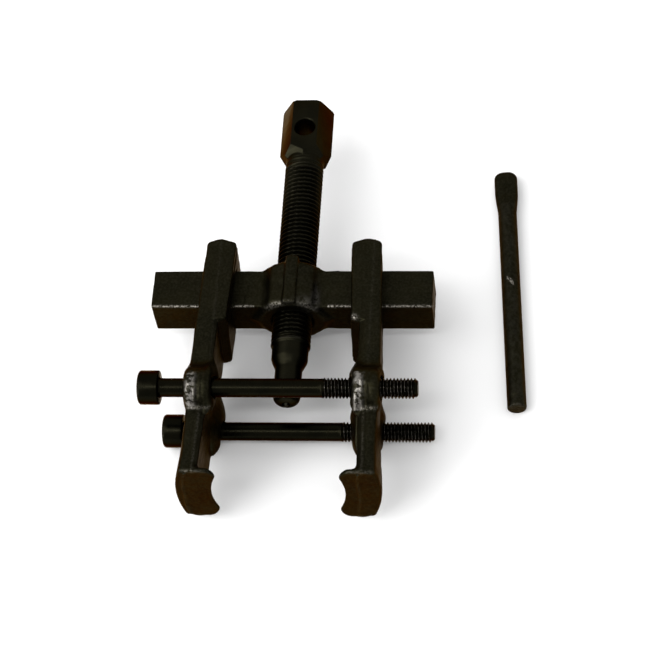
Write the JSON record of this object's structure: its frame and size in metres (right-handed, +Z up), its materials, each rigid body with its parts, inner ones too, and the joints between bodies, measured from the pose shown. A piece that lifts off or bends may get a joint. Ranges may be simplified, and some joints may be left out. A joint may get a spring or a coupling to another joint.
{
  "type": "gear puller",
  "caption": "Small two-jaw gear and bearing puller: square crossbar with threaded boss, forcing screw, parallel jaws tied by socket head bolts, loose tommy bar.",
  "frame": {"origin": "middle of the whole set's footprint, tommy bar included, at the height of the surface that it lies on", "axes": "+Y along the forcing screw towards its hex head, +X along the crossbar towards the tommy bar, +Z up"},
  "size_m": [0.112, 0.1356, 0.038],
  "materials": {
    "forged_black_steel": "forged, black, semi-gloss, slightly rough skin",
    "black_oxide_steel": "machined, black oxide, semi-gloss",
    "hardened_steel": "hardened, dark, ground point"
  },
  "bodies": {
    "crossbar": {"crossbar": "forged_black_steel"},
    "centre_pin": {"centre_pin": "hardened_steel"},
    "forcing_screw": {"forcing_screw": "black_oxide_steel"},
    "left_jaw": {"left_jaw": "forged_black_steel"},
    "right_jaw": {"right_jaw": "forged_black_steel"},
    "upper_tie_bolt": {"upper_tie_bolt": "black_oxide_steel"},
    "lower_tie_bolt": {"lower_tie_bolt": "black_oxide_steel"},
    "tommy_bar": {"tommy_bar": "forged_black_steel"}
  },
  "joints": [
    {"name": "screw_feed", "type": "slide", "parent": "crossbar", "child": "centre_pin", "axis": [0, 1, 0], "range_m": [-0.0375, 0.014]},
    {"name": "screw_turn", "type": "hinge", "parent": "centre_pin", "child": "forcing_screw", "pos_m": [-0.01379, -0.002, 0.019], "axis": [0, 1, 0], "range_deg": [-9010, 3370]},
    {"name": "left_jaw_slide", "type": "slide", "parent": "crossbar", "child": "left_jaw", "axis": [1, 0, 0], "range_m": [-0.00505, 0.0024]},
    {"name": "jaw_spacing", "type": "slide", "parent": "left_jaw", "child": "right_jaw", "axis": [1, 0, 0], "range_m": [-0.0047, 0.01]},
    {"name": "upper_bolt_turn", "type": "hinge", "parent": "left_jaw", "child": "upper_tie_bolt", "pos_m": [-0.01379, -0.0401, 0.032], "axis": [1, 0, 0], "range_deg": [-3610, 1702]},
    {"name": "lower_bolt_turn", "type": "hinge", "parent": "left_jaw", "child": "lower_tie_bolt", "pos_m": [-0.01379, -0.0401, 0.006], "axis": [1, 0, 0], "range_deg": [-3610, 1702]},
    {"name": "tommy_bar_lift", "type": "slide", "parent": "crossbar", "child": "tommy_bar", "axis": [0, 0, 1], "range_m": [0, 0.06]}
  ],
  "couplings": [
    {"joint": "screw_turn", "follows": "screw_feed", "rad_per_m": 4188.8},
    {"joint": "left_jaw_slide", "follows": "jaw_spacing", "ratio": -0.5},
    {"joint": "upper_bolt_turn", "follows": "jaw_spacing", "rad_per_m": -6283.2},
    {"joint": "lower_bolt_turn", "follows": "jaw_spacing", "rad_per_m": -6283.2}
  ]
}
